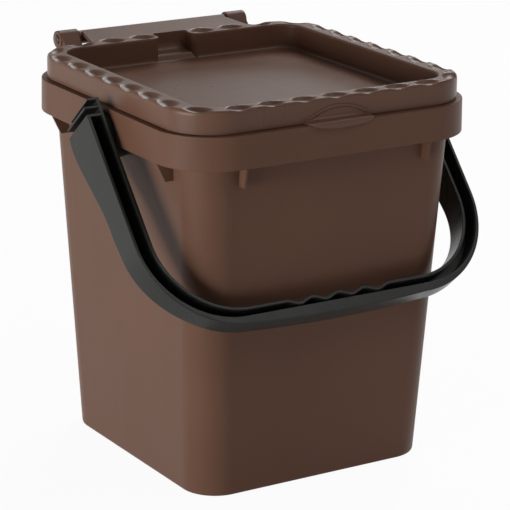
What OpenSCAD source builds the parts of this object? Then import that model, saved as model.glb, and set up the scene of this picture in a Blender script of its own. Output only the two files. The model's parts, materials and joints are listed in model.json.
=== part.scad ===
// Kitchen compost caddy: a square tapered bucket with a deep collar, a lid hinged at the back
// and a bail handle that rests against the front wall.
// Width runs along X, the front faces -Y and the foot stands on z = 0. Millimetres.

/* [Bucket] */
// Width of the foot, side to side
foot_w = 192.2; // [186:0.2:200]
// Depth of the foot, front to back
foot_d = 196; // [190:0.5:204]
// Width of the wall at the top of the bucket
mouth_w = 217.6; // [212:0.2:220]
// Depth of the wall at the top of the bucket
mouth_d = 225.5; // [222:0.5:227]
// Height of the bucket to the top of its collar
bucket_h = 267.1; // [240:0.1:300]
// Radius of the upright corners
corner_r = 26; // [20:0.5:32]
// Rounding of the foot's edge
foot_round = 4; // [2:0.5:8]
// Thickness of the wall
wall = 2.2; // [1.6:0.1:3]
// Thickness of the bottom
bottom_t = 2.6; // [2:0.1:4]

/* [Collar] */
// Width of the collar at its top
collar_w = 243.3; // [240:0.1:248]
// Depth of the collar at its top
collar_d = 242.6; // [240:0.1:248]
// Height of the collar
collar_h = 23.7; // [20:0.1:30]
// Corner radius of the collar
collar_r = 43; // [38:0.5:48]
// How much each side of the collar draws in towards its lower edge
collar_draft = 2.1; // [0.5:0.1:3]
// Thickness of the collar's skirt
skirt_t = 2; // [1.6:0.1:2.6]
// Thickness of the flange that joins the collar to the wall
flange_t = 2.2; // [1.6:0.1:2.4]
// Distance of the front and back gussets from the middle
gusset_x = 75; // [60:0.5:78]
// Distance of the side gussets from the middle
gusset_y = 75.5; // [50:0.5:78]
// Thickness of a gusset
gusset_t = 2; // [1.4:0.1:3]
// How far a gusset reaches below the collar
gusset_drop = 14.4; // [8:0.2:22]
// How far a gusset's foot stands out from the wall
gusset_foot = 6.5; // [4:0.1:9]

/* [Lid] */
// Width of the lid's skirt
lid_w = 233.4; // [228:0.2:238]
// Depth of the lid's skirt
lid_d = 231.4; // [228:0.2:236]
// Corner radius of the lid's skirt
lid_r = 35; // [28:0.5:40]
// Height of the lid's crest above the collar
crest_h = 16.9; // [14:0.1:20]
// Radius of the rounded shoulder
shoulder_r = 4; // [2:0.5:5]
// Gap between the lid's skirt and the collar
seam_gap = 0.3; // [0.2:0.1:0.6]
// Thickness of the lid
lid_wall = 2.2; // [1.6:0.1:2.6]
// Width of the rim at the sides
rim_side = 16.7; // [15:0.1:20]
// Width of the rim at the front and back
rim_end = 11.7; // [10.5:0.1:14]
// Corner radius of the recess
recess_r = 18; // [12:0.5:26]
// Depth of the recess below the crest
recess_depth = 19; // [14:0.2:22]
// Rounding of the recess's upper edge
recess_lip = 1.6; // [0.6:0.1:2.2]
// Rounding at the foot of the recess's wall
recess_fillet = 3; // [1:0.5:5]
// Rise of the domed panel
dome_rise = 3; // [1:0.2:5]
// Radius of the domed panel
dome_r = 92; // [70:1:96]

/* [Rim dimples] */
// Spacing of the dimples along the rim
dimple_pitch = 25.6; // [23:0.1:27]
// Number of dimples along each side
dimple_count = 7; // [3:2:7]
// Length of a dimple at the crest
dimple_len = 17; // [12:0.5:20]
// Width of a dimple at the crest
dimple_wid = 9; // [6:0.1:9.4]
// Depth of a dimple
dimple_depth = 3.4; // [2:0.1:4]

/* [Thumb tab] */
// Width of the tab
tab_w = 56; // [40:1:70]
// Height of the tab's arch above its ends
tab_arch = 8.8; // [6:0.1:9]
// How far the tab's ends stand above the lid's lower edge
tab_end_h = 2.3; // [1.5:0.1:2.6]
// How far the lip hangs below the lid's lower edge
tab_drop = 3.4; // [2:0.1:6]
// Thickness of the lip
tab_lip_t = 2.3; // [1.6:0.1:3]
// Gap between the lip and the collar
tab_gap = 0.4; // [0.3:0.1:1]
// Rounding of the lip's lower corners
tab_round = 5; // [2:0.5:5.5]

/* [Alcove] */
// Width of the alcove in the back rim
alcove_w = 28; // [20:0.5:34]
// How far the alcove reaches behind the lid's skirt
alcove_out = 8.4; // [4:0.2:11]
// Rounding of the alcove's mouth
alcove_round = 4.5; // [2:0.5:6]

/* [Hinge] */
// Distance of the hinge axis behind the collar
hinge_out = 20.7; // [18:0.1:26]
// Height of the hinge axis above the collar
hinge_up = 14.9; // [12:0.1:17]
// Radius of the lid's barrel
barrel_r = 5; // [4.4:0.1:5.8]
// Length of the lid's barrel
barrel_len = 135.8; // [110:0.2:150]
// Thickness of the leaf between the rim and the barrel
leaf_t = 2.8; // [2:0.1:4]
// Radius of the bucket's knuckles
knuckle_r = 6.6; // [6:0.1:7.5]
// Length of a knuckle
knuckle_len = 12.7; // [10:0.1:16]
// Gap between the barrel and a knuckle
knuckle_gap = 0.6; // [0.4:0.1:1.2]
// Bevel on the ends of the barrel and the knuckles
hinge_bevel = 1.2; // [0.4:0.1:1.6]
// Skin of the cored brackets that carry the knuckles
bracket_skin = 2.4; // [2:0.1:3]
// Radius of a hinge pin
pin_r = 2.5; // [2:0.1:3]
// How far a pin reaches into the barrel
pin_reach = 18; // [12:0.5:30]
// Radius of a pin's head
pin_head_r = 5.2; // [4:0.1:5.8]
// Thickness of a pin's head
pin_head_t = 3.6; // [2.4:0.1:4]
// Radial clearance of the running fits
run_clear = 0.05; // [0.03:0.01:0.1]

/* [Handle] */
// Distance of the handle's pivots in front of the middle
pivot_front = 5.5; // [0:0.5:10]
// Distance of the pivots below the top of the collar
pivot_drop = 20.1; // [19.9:0.1:22]
// Radius of the bucket's pivot studs
stud_r = 13; // [10:0.1:13.2]
// Wall of the hollow studs
stud_wall = 2.6; // [2:0.1:4]
// Wall of the handle's bosses round the studs
boss_wall = 3.8; // [2.6:0.1:3.9]
// Gap between a boss and the bucket's wall
boss_gap = 0.6; // [0.4:0.1:1.2]
// Gap round a boss in the collar
boss_notch_gap = 0.8; // [0.5:0.1:0.9]
// Gap between the collar and the handle's arms
arm_gap = 5.35; // [4:0.05:8]
// Width of an arm
arm_w = 13.4; // [12:0.1:16]
// Wall of the channel
channel_wall = 2.4; // [1.8:0.1:3]
// Distance from the pivots to the grip's outer edge
reach = 163.5; // [160:0.5:175]
// Width of the grip
grip_w = 12.6; // [12:0.1:15]
// Width of the grip's closed outer band
grip_band = 6.3; // [4:0.1:6.6]
// How far the grip bows out in the middle
grip_bow = 2.5; // [1:0.1:4]
// Outer radius of the bends
bend_out = 69; // [64:0.5:76]
// Inner radius of the bends
bend_in = 56; // [50:0.5:60]
// Outer radius of the channel round the bends
bend_channel = 62; // [58:0.5:66]
// Height of the channel's open face above the pivots
face_h = 17.7; // [17:0.1:20]
// Depth of the arms at the pivots
depth_pivot = 36.5; // [35:0.5:40]
// Depth of the arms below the pivots
depth_arm = 26.8; // [24:0.2:30]
// Depth of the grip
depth_grip = 14.7; // [12:0.1:17]
// Depth of the arms at their upper ends
depth_end = 20; // [16:0.5:24]
// How far the arms reach beyond the pivots
arm_end = 20; // [19:0.5:26]
// Thickness of the ribs across the arms' ends
rib_t = 2; // [1.4:0.1:2.6]
// Spacing of those ribs
rib_pitch = 6; // [5:0.1:7]
// Number of those ribs
rib_count = 3; // [2:1:3]
// Spacing of the finger waves
wave_pitch = 21.5; // [19:0.5:24]
// Depth of the finger waves
wave_depth = 3; // [1:0.1:3.6]
// Number of finger waves
wave_count = 4; // [2:2:4]
// Angle of the resting handle below level
rest_tilt = 48; // [44:1:52]

/* [Hidden] */

BROWN = [0.42, 0.31, 0.26];
GREY = [0.24, 0.25, 0.24];
over = 1;                 // how far a cutting solid reaches past what it cuts
slab = 0.2;               // thickness of the slices that the tapered shells are stretched between
hull_fn = 32;
turn_fn = 96;
small_fn = 48;
arc_steps = 6;

// Places on the bucket
collar_z = bucket_h - collar_h;

// Places on the lid
crest_z = bucket_h + crest_h;
lid_z = bucket_h + seam_gap;
recess_w = lid_w - 2 * rim_side;
recess_d = lid_d - 2 * rim_end;
recess_z = crest_z - recess_depth;
rim_under_z = crest_z - dimple_depth - 1.6;
alcove_floor_z = lid_z + 0.3 + lid_wall;
alcove_back = lid_d / 2 + alcove_out;

// A dimple is cut by a slim spindle laid along the rim, its axis a little above the crest
dimple_fat = (pow(dimple_wid / 2, 2) / dimple_depth + dimple_depth) / 2;
dimple_axis = dimple_fat - dimple_depth;
dimple_arc = (pow(dimple_len / 2, 2) + pow(dimple_depth, 2)) / (2 * dimple_depth);
dimple_half = sqrt(pow(dimple_arc, 2) - pow(dimple_arc - dimple_fat, 2));

// Places on the hinge
hinge_y = collar_d / 2 + hinge_out;
hinge_z = bucket_h + hinge_up;
knuckle_x = barrel_len / 2 + knuckle_gap;

// Places on the handle, measured from the pivots: a runs to the grip, b towards the open face
pivot_z = bucket_h - pivot_drop;
pivot_wall_x = wall_half(foot_w, mouth_w, bucket_h);
boss_r = stud_r + boss_wall;
boss_x = pivot_wall_x + boss_gap;
arm_in = collar_w / 2 + arm_gap;
arm_out = arm_in + arm_w;
stud_x = arm_in - channel_wall - boss_gap;
grip_in = reach - grip_w;
channel_out = arm_out - channel_wall;
channel_grip = reach - grip_band;
channel_start = rib_count * rib_pitch - arm_end - rib_pitch + rib_t;
bow_r = (pow(arm_out - bend_out, 2) + pow(grip_bow, 2)) / (2 * grip_bow);

// Half of a tapered wall's width at height z
function wall_half(low, high, z) = (low + (high - low) * z / bucket_h) / 2;

// Points along an arc about c, from angle a0 to a1
function arc(c, r, a0, a1) =
    [for (i = [0:arc_steps]) let (a = a0 + (a1 - a0) * i / arc_steps) c + r * [cos(a), sin(a)]];

// Points along a curve from p to q, drawn towards k
function bow(p, k, q) =
    [for (i = [0:arc_steps]) let (t = i / arc_steps) (1-t)*(1-t)*p + 2*t*(1-t)*k + t*t*q];

// Smooth step from 0 to 1
function ease(t) = let (c = min(max(t, 0), 1)) c * c * (3 - 2 * c);

// Both halves of an outline that is drawn on its positive side
function both(pts) = concat(pts, [for (i = [len(pts) - 1:-1:0]) [-pts[i][0], pts[i][1]]]);

module in_front_and_behind() {
    for (t = [0, 180]) rotate(t) children();
}

module left_and_right() {
    for (s = [0, 1]) mirror([s, 0, 0]) children();
}

module round_rect(w, d, r) {
    square([w - 2 * r, d], center = true);
    square([w, d - 2 * r], center = true);
    for (x = [-1, 1], y = [-1, 1])
        translate([x * (w / 2 - r), y * (d / 2 - r)]) circle(r);
}

module slice(w, d, r, z) {
    translate([0, 0, z]) linear_extrude(slab) round_rect(w, d, r, $fn = hull_fn);
}

// A rounded-square block whose side has the given profile: half is its distance from the middle
module profiled_block(w, d, r, profile) {
    for (t = [0:3]) {
        side = t % 2 == 0 ? [w / 2, d / 2] : [d / 2, w / 2];
        rotate(90 * t) translate([side[0] - r, side[1] - r])
            rotate_extrude(angle = 90, $fn = turn_fn) polygon(profile_points(profile, r));
    }
    rotate([90, 0, 0]) linear_extrude(d - 2 * r, center = true)
        polygon(both(profile_points(profile, w / 2)));
    rotate([90, 0, 90]) linear_extrude(w - 2 * r, center = true)
        polygon(both(profile_points(profile, d / 2)));
}

// A profile is a list of [outward offset, height]; this closes it on the middle line
function profile_points(profile, half) =
    concat([[0, profile[0][1]]], [for (p = profile) [half + p[0], p[1]]],
           [[0, profile[len(profile) - 1][1]]]);

// ---------------------------------------------------------------- bucket

module wall_outside() {
    hull() {
        slice(foot_w - 2 * foot_round, foot_d - 2 * foot_round, corner_r - foot_round, 0);
        slice(foot_w - 0.6 * foot_round, foot_d - 0.6 * foot_round, corner_r - 0.3 * foot_round,
              0.3 * foot_round);
        slice(foot_w, foot_d, corner_r, foot_round);
        slice(mouth_w, mouth_d, corner_r, bucket_h - slab);
    }
}

module wall_inside() {
    hull() {
        slice(foot_w - 2 * wall - foot_round, foot_d - 2 * wall - foot_round,
              corner_r - wall - foot_round / 2, bottom_t);
        slice(foot_w - 2 * wall, foot_d - 2 * wall, corner_r - wall, bottom_t + foot_round);
        slice(mouth_w - 2 * wall, mouth_d - 2 * wall, corner_r - wall, bucket_h + over);
    }
}

// The collar, drawn in by the given amount on each side, from z up to its top
module collar_block(inset, z, top) {
    hull() {
        slice(collar_w - 2 * (collar_draft + inset), collar_d - 2 * (collar_draft + inset),
              collar_r - inset, z);
        slice(collar_w - 2 * inset, collar_d - 2 * inset, collar_r - inset, top - slab);
    }
}

module gusset(wall_low, wall_high, collar_half) {
    foot_z = collar_z - gusset_drop;
    root = wall_half(wall_low, wall_high, foot_z);
    rotate([90, 0, 90]) linear_extrude(gusset_t, center = true)
        polygon([
            [root - wall, foot_z], [root + gusset_foot, foot_z],
            [collar_half - collar_draft, collar_z], [collar_half - skirt_t / 2, bucket_h - flange_t],
            [root - wall, bucket_h - flange_t]
        ]);
}

// A bracket rises from the collar's back to a knuckle, and is cored from below
module bracket() {
    back = collar_d / 2;
    skin = bracket_skin;
    front_y = hinge_y - 0.8 * knuckle_r;
    under_y = hinge_y + 0.77 * knuckle_r;
    translate([knuckle_x + knuckle_len / 2, 0, 0]) rotate([90, 0, 90]) difference() {
        linear_extrude(knuckle_len - 2 * hinge_bevel, center = true)
            polygon([
                [back - skirt_t, bucket_h], [front_y, hinge_z + 0.6 * knuckle_r], [hinge_y, hinge_z],
                [under_y, hinge_z - 0.64 * knuckle_r], [back - skirt_t, collar_z + skin],
            ]);
        linear_extrude(knuckle_len - 2 * hinge_bevel - 2 * skin, center = true)
            polygon([
                [back + skin, bucket_h - 2 * skin], [hinge_y - 0.5 * knuckle_r, hinge_z - 1.3 * knuckle_r],
                [hinge_y + knuckle_r, hinge_z - 1.3 * knuckle_r], [under_y, collar_z],
                [back + skin, collar_z]
            ]);
    }
}

// A barrel along X with bevelled ends, starting at x = 0
module bevelled_barrel(r, length) {
    rotate([0, 90, 0]) rotate_extrude($fn = small_fn)
        polygon([[0, 0], [r - hinge_bevel, 0], [r, hinge_bevel], [r, length - hinge_bevel],
                 [r - hinge_bevel, length], [0, length]]);
}

module knuckle() {
    bracket();
    translate([knuckle_x, hinge_y, hinge_z]) bevelled_barrel(knuckle_r, knuckle_len);
}

module pivot_stud() {
    translate([pivot_wall_x - 2 * wall, -pivot_front, pivot_z]) rotate([0, 90, 0])
        cylinder(h = stud_x - pivot_wall_x + 2 * wall, r = stud_r, $fn = turn_fn);
}

module stud_hollow() {
    translate([pivot_wall_x + wall, -pivot_front, pivot_z]) rotate([0, 90, 0])
        cylinder(h = stud_x, r = stud_r - stud_wall, $fn = turn_fn);
}

// The arched notch in the collar's side that lets the handle's boss through
module boss_notch() {
    r = boss_r + boss_notch_gap;
    translate([pivot_wall_x, -pivot_front, pivot_z]) {
        rotate([0, 90, 0]) cylinder(h = collar_w, r = r, $fn = turn_fn);
        translate([0, -r, -collar_h]) cube([collar_w, 2 * r, collar_h]);
    }
}

module collar() {
    difference() {
        collar_block(0, collar_z, bucket_h);
        collar_block(skirt_t, collar_z - over, bucket_h - flange_t);
        left_and_right() boss_notch();
    }
}

module bucket() {
    color(BROWN) difference() {
        union() {
            collar();
            wall_outside();
            in_front_and_behind()
                left_and_right() translate([gusset_x, 0]) gusset(foot_d, mouth_d, collar_d / 2);
            in_front_and_behind()
                left_and_right() rotate(-90) translate([gusset_y, 0]) gusset(foot_w, mouth_w, collar_w / 2);
            left_and_right() knuckle();
            left_and_right() pivot_stud();
        }
        wall_inside();
        left_and_right() stud_hollow();
        translate([0, hinge_y, hinge_z]) rotate([0, 90, 0])
            cylinder(h = collar_w, r = pin_r, center = true, $fn = small_fn);
    }
}

// ---------------------------------------------------------------- lid

module rim_block() {
    profiled_block(lid_w, lid_d, lid_r,
        concat([[0, lid_z]], arc([-shoulder_r, crest_z - shoulder_r], shoulder_r, 0, 90)));
}

module tub_block() {
    translate([0, 0, recess_z - lid_wall]) linear_extrude(crest_z - shoulder_r - recess_z + lid_wall)
        round_rect(recess_w + 2 * lid_wall, recess_d + 2 * lid_wall, recess_r + lid_wall, $fn = turn_fn);
}

module recess() {
    profiled_block(recess_w, recess_d, recess_r,
        concat(arc([-recess_fillet, recess_z + recess_fillet], recess_fillet, -90, 0),
               arc([recess_lip, crest_z - recess_lip], recess_lip, 180, 90),
               [[recess_lip, crest_z + over]]));
}

// The panel's dome, and the same form below it that keeps the panel's thickness
module dome(z) {
    rotate_extrude($fn = turn_fn)
        polygon(concat([[0, z - lid_wall / 2]], [[dome_r, z - lid_wall / 2]],
            [for (i = [arc_steps:-1:0]) let (t = i / arc_steps) [dome_r * t, z + dome_rise * (1 - t * t)]]));
}

// Outline of the alcove, grown by the given wall
module alcove_outline(grow) {
    half = alcove_w / 2 + grow;
    translate([-half, recess_d / 2 - recess_r]) square([2 * half, alcove_back + grow - recess_d / 2 + recess_r]);
}

module alcove_mouth() {
    half = alcove_w / 2 + alcove_round;
    difference() {
        translate([-half, recess_d / 2 - over]) square([2 * half, alcove_round + over]);
        for (s = [-1, 1])
            translate([s * half, recess_d / 2 + alcove_round]) circle(alcove_round, $fn = small_fn);
    }
}

module alcove() {
    translate([0, 0, alcove_floor_z]) linear_extrude(recess_depth) {
        alcove_outline(0);
        alcove_mouth();
    }
}

module alcove_shell() {
    translate([0, 0, alcove_floor_z - lid_wall])
        linear_extrude(crest_z - shoulder_r / 2 - alcove_floor_z + lid_wall)
            intersection() {
                alcove_outline(lid_wall);
                translate([-lid_w / 2, recess_d / 2 + lid_wall / 2]) square([lid_w, lid_d]);
            }
}

// The hollow under the rim, between the skirt and the recess's wall
module rim_hollow() {
    difference() {
        translate([0, 0, lid_z - over]) linear_extrude(rim_under_z - lid_z + over)
            round_rect(lid_w - 2 * lid_wall, lid_d - 2 * lid_wall, lid_r - lid_wall, $fn = turn_fn);
        tub_block();
        alcove_shell();
    }
}

module dimple() {
    steps = 6;
    translate([0, 0, crest_z + dimple_axis]) rotate([0, 90, 0]) rotate_extrude($fn = small_fn)
        polygon([for (i = [0:steps]) let (s = dimple_half * (2 * i / steps - 1))
            [max(0, sqrt(pow(dimple_arc, 2) - s * s) - dimple_arc + dimple_fat), s]]);
}

module dimples() {
    last = (dimple_count - 1) / 2;
    side_x = (lid_w + recess_w) / 4;
    end_y = (lid_d + recess_d) / 4;
    for (i = [-last:last]) {
        for (s = [-1, 1])
            translate([s * side_x, i * dimple_pitch]) rotate(90) dimple();
        translate([i * dimple_pitch, -end_y]) dimple();
        if (i != 0)
            translate([i * dimple_pitch, end_y]) dimple();
    }
    bend = (side_x + end_y - lid_w / 2 - lid_d / 2) / 2 + lid_r;
    for (sx = [-1, 1], sy = [-1, 1])
        translate([sx * (lid_w / 2 - lid_r), sy * (lid_d / 2 - lid_r)])
            rotate(45 * sy * (2 - sx)) translate([bend, 0]) rotate(90) dimple();
}

// The thumb tab: an arched outline cut from a scooped profile whose lip hangs over the collar
module thumb_tab() {
    arch_r = (pow(tab_w / 2, 2) + pow(tab_arch, 2)) / (2 * tab_arch);
    lip_in = (collar_d - lid_d) / 2 + tab_gap;
    lip_out = lip_in + tab_lip_t;
    low = lid_z - tab_drop;
    top = lid_z + tab_end_h + tab_arch;
    ledge = lid_z + tab_end_h - 0.6;
    soft = 0.7;
    translate([0, -lid_d / 2, 0]) intersection() {
        rotate([90, 0, 0]) linear_extrude(2 * lip_out, center = true) intersection() {
            translate([0, top - arch_r]) circle(arch_r, $fn = 2 * turn_fn);
            translate([0, low + top / 2]) round_rect(tab_w, top, tab_round, $fn = small_fn);
        }
        rotate([90, 0, 90]) linear_extrude(tab_w, center = true)
            polygon(concat(
                [[lid_wall / 2, lid_z], [lid_wall / 2, top]],
                bow([0, top], [-0.3, ledge], [-lip_out + soft, ledge]),
                [[-lip_out, ledge - soft], [-lip_out, low + soft], [-lip_out + soft, low], [-lip_in, low],
                 [-lip_in, lid_z]]));
    }
}

module leaf() {
    rotate([90, 0, 90]) linear_extrude(barrel_len - 2 * hinge_bevel, center = true)
        polygon([
            [lid_d / 2 - shoulder_r, crest_z], [hinge_y, hinge_z + barrel_r],
            [hinge_y, hinge_z + barrel_r - leaf_t], [lid_d / 2 - shoulder_r, crest_z - leaf_t]
        ]);
}

module lid() {
    color(BROWN) difference() {
        union() {
            difference() {
                union() {
                    rim_block();
                    tub_block();
                    leaf();
                }
                recess();
                rim_hollow();
                dimples();
            }
            dome(recess_z);
            alcove_shell();
            thumb_tab();
            translate([-barrel_len / 2, hinge_y, hinge_z]) bevelled_barrel(barrel_r, barrel_len);
        }
        dome(recess_z - lid_wall);
        alcove();
        translate([0, hinge_y, hinge_z]) rotate([0, 90, 0])
            cylinder(h = barrel_len + over, r = pin_r + run_clear, center = true, $fn = small_fn);
    }
}

// ---------------------------------------------------------------- hinge pins

module hinge_pin() {
    head_x = knuckle_x + knuckle_len;
    translate([0, hinge_y, hinge_z]) rotate([0, 90, 0]) rotate_extrude($fn = small_fn)
        polygon(concat(
            [[0, head_x - knuckle_len - knuckle_gap - pin_reach], [pin_r, head_x - knuckle_len - knuckle_gap - pin_reach],
             [pin_r, head_x]],
            [for (i = [0:arc_steps]) let (a = 90 * i / arc_steps)
                [pin_head_r * cos(a), head_x + pin_head_t * sin(a)]]));
}

module hinge_pin_right() {
    color(GREY) hinge_pin();
}

module hinge_pin_left() {
    color(GREY) mirror([1, 0, 0]) hinge_pin();
}

// ---------------------------------------------------------------- handle

// Depth of the handle below its open face, at the distance a from the pivots
function handle_depth(a) =
    a < grip_in / 2
        ? depth_pivot + (depth_arm - depth_pivot) * ease((a - boss_r) / (1.5 * boss_r))
        : depth_arm + (depth_grip - depth_arm) * pow(min(1, (2 * a - grip_in) / grip_in), 2);

// Side view of the handle, as [a, b]; skin lifts its underside
function handle_side(skin) =
    let (steps = 24)
    concat([[-arm_end, face_h], [-arm_end, face_h - depth_end + skin],
            [-0.6 * arm_end, face_h - depth_end - 0.25 * arm_end + skin]],
           [for (i = [0:steps]) let (a = grip_in * i / steps) [a, face_h - handle_depth(a) + skin]],
           [[reach + grip_bow + over, face_h - depth_grip + skin],
            [reach + grip_bow + over, face_h]]);

module side_slab(skin, lift) {
    rotate([90, 0, 90]) linear_extrude(2 * arm_out, center = true)
        polygon([for (p = handle_side(skin)) [p[0], p[1] == face_h ? face_h + lift : p[1]]]);
}

// A U: straight arms at the given half width, round bends of radius r and a cross bar at the far end
module u_block(half, far, r, start) {
    translate([-half, start]) square([2 * half, far - r - start]);
    translate([-half + r, start]) square([2 * (half - r), far - start]);
    for (s = [-1, 1])
        translate([s * (half - r), far - r]) circle(r, $fn = 2 * turn_fn);
}

// The finger waves along the grip's inner edge, moved out by the given amount
module waves(out) {
    half = wave_count * wave_pitch / 2;
    steps = 12 * wave_count;
    polygon(concat(
        [for (i = [0:steps]) let (u = half * (2 * i / steps - 1))
            [u, grip_in + out + wave_depth * (1 - cos(360 * u / wave_pitch)) / 2]],
        [[half, grip_in - over], [-half, grip_in - over]]));
}

// The inner edge of the handle, moved out by the given amount
module u_inside(out, start) {
    u_block(arm_in + out, grip_in + out, bend_in + out, start);
    waves(out);
}

module u_outside() {
    u_block(arm_out, reach, bend_out, -arm_end);
    intersection() {
        translate([0, reach + grip_bow - bow_r]) circle(bow_r, $fn = 720);
        translate([bend_out - arm_out, reach - over]) square([2 * (arm_out - bend_out), 2 * grip_bow + over]);
    }
}

module channel_outline() {
    difference() {
        u_block(channel_out, channel_grip, bend_channel, channel_start);
        u_inside(channel_wall, channel_start - over);
    }
}

// The slots between the end ribs are open towards the front, the back and the outside
module rib_slots() {
    for (i = [0:rib_count - 2], s = [0, 1])
        mirror([s, 0, 0])
            translate([arm_in + channel_wall, i * rib_pitch + rib_t - arm_end, -depth_pivot])
                cube([arm_w, rib_pitch - rib_t, 2 * depth_pivot]);
}

module bail() {
    difference() {
        intersection() {
            translate([0, 0, -depth_pivot]) linear_extrude(2 * depth_pivot) difference() {
                u_outside();
                u_inside(0, -arm_end - over);
            }
            side_slab(0, 0);
        }
        intersection() {
            translate([0, 0, -depth_pivot]) linear_extrude(2 * depth_pivot) channel_outline();
            side_slab(channel_wall, over);
        }
        rib_slots();
    }
}

module handle() {
    color(GREY) translate([0, -pivot_front, pivot_z]) rotate([rest_tilt, 0, 0]) rotate(180)
        difference() {
            union() {
                bail();
                left_and_right() translate([boss_x, 0, 0]) rotate([0, 90, 0])
                    cylinder(h = arm_in - boss_x + channel_wall, r = boss_r, $fn = turn_fn);
            }
            left_and_right() translate([boss_x - over, 0, 0]) rotate([0, 90, 0])
                cylinder(h = arm_in - channel_wall - boss_x + over, r = stud_r + run_clear, $fn = turn_fn);
        }
}

bucket();
lid();
handle();
hinge_pin_left();
hinge_pin_right();
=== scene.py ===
"""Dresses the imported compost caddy: smooth mouldings, satin plastics and a plain studio."""
import json
from math import cos, pi, radians, sin, sqrt

import bmesh
import bpy
from mathutils import Matrix, Vector


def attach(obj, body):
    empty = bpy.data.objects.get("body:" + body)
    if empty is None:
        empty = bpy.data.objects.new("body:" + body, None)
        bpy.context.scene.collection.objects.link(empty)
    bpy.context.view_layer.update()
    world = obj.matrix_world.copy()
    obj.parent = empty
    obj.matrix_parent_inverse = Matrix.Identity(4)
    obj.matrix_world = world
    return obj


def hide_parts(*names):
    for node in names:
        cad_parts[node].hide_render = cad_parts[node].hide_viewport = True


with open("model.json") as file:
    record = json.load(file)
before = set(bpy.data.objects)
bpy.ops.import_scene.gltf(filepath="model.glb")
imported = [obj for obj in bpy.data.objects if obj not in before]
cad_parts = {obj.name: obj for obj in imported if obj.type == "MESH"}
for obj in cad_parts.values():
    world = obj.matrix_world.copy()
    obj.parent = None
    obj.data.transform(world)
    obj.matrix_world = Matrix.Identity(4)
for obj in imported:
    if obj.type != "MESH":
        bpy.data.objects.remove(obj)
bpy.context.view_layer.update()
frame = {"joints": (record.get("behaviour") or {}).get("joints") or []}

bl_info = {
    "name": "Compost caddy",
    "version": (1, 0, 0),
    "blender": (4, 5, 0),
    "location": "View3D > Sidebar > Caddy",
    "description": "Models a kitchen compost caddy with a hinged lid and a bail handle",
    "category": "Add Mesh",
}

MM = 0.001
HAIR = 0.01 * MM  # slack when heights are compared, and the radius at a turned piece's closed pole
KNUCKLE_GAP = 0.6 * MM  # between the lid's barrel and a knuckle
SMOOTH_ANGLE = radians(38)  # faces that meet at less are shaded as one


def length(name, millimetres, description):
    """A size that the sidebar shows in the scene's own length unit."""
    return bpy.props.FloatProperty(
        name=name, description=description, default=millimetres * MM, unit="LENGTH", precision=4)


def angle(name, degrees, description):
    return bpy.props.FloatProperty(
        name=name, description=description, default=radians(degrees), subtype="ANGLE")


def power(name, watts, description):
    return bpy.props.FloatProperty(name=name, description=description, default=watts, unit="POWER")


def colour(name, shade, description):
    return bpy.props.FloatVectorProperty(
        name=name, description=description, default=shade, subtype="COLOR", size=3)


def joint_place(name):
    """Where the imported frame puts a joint's axis."""
    return Vector(next(joint["pos_m"] for joint in frame["joints"] if joint["name"] == name))


# ------------------------------------------------------------------ sizes and finishes

class CaddyBucketSizes(bpy.types.PropertyGroup):
    """Sizes of the bucket and its collar"""
    foot_w: length("Foot width", 192.2, "Width of the foot")
    foot_d: length("Foot depth", 196, "Depth of the foot")
    mouth_w: length("Mouth width", 217.6, "Width of the wall at the top")
    mouth_d: length("Mouth depth", 225.5, "Depth of the wall at the top")
    height: length("Height", 267.1, "Height to the top of the collar")
    corner: length("Corner", 26, "Radius of the upright corners")
    foot_round: length("Foot rounding", 2.5, "Rounding of the foot's edge")
    wall: length("Wall", 2.2, "Thickness of the wall")
    bottom: length("Bottom", 2.6, "Thickness of the bottom")
    collar_w: length("Collar width", 243.3, "Width of the collar at its top")
    collar_d: length("Collar depth", 242.6, "Depth of the collar at its top")
    collar_h: length("Collar height", 23.7, "Height of the collar")
    collar_corner: length("Collar corner", 43, "Corner radius of the collar")
    collar_flare: length("Collar flare", 0.3, "How much further each side stands out at its lower edge")
    skirt: length("Skirt", 2, "Thickness of the collar's skirt")
    flange: length("Flange", 2.2, "Thickness of the collar's flange")
    gusset_x: length("Front gussets", 75, "Distance of the front and back gussets from the middle")
    gusset_y: length("Side gussets", 75.5, "Distance of the side gussets from the middle")
    gusset_t: length("Gusset", 2, "Thickness of a gusset")
    gusset_drop: length("Gusset drop", 14.4, "How far a gusset reaches below the collar")
    gusset_foot: length("Gusset foot", 6.5, "How far a gusset's foot stands out from the wall")
    knuckle_r: length("Knuckle", 6.6, "Radius of the hinge knuckles")
    knuckle_len: length("Knuckle length", 16.7, "Length of a hinge knuckle")
    bracket_skin: length("Bracket skin", 2.4, "Skin of the cored hinge brackets")
    stud_r: length("Stud", 13, "Radius of the handle's pivot studs")
    stud_wall: length("Stud wall", 2.6, "Wall of the hollow studs")


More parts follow.
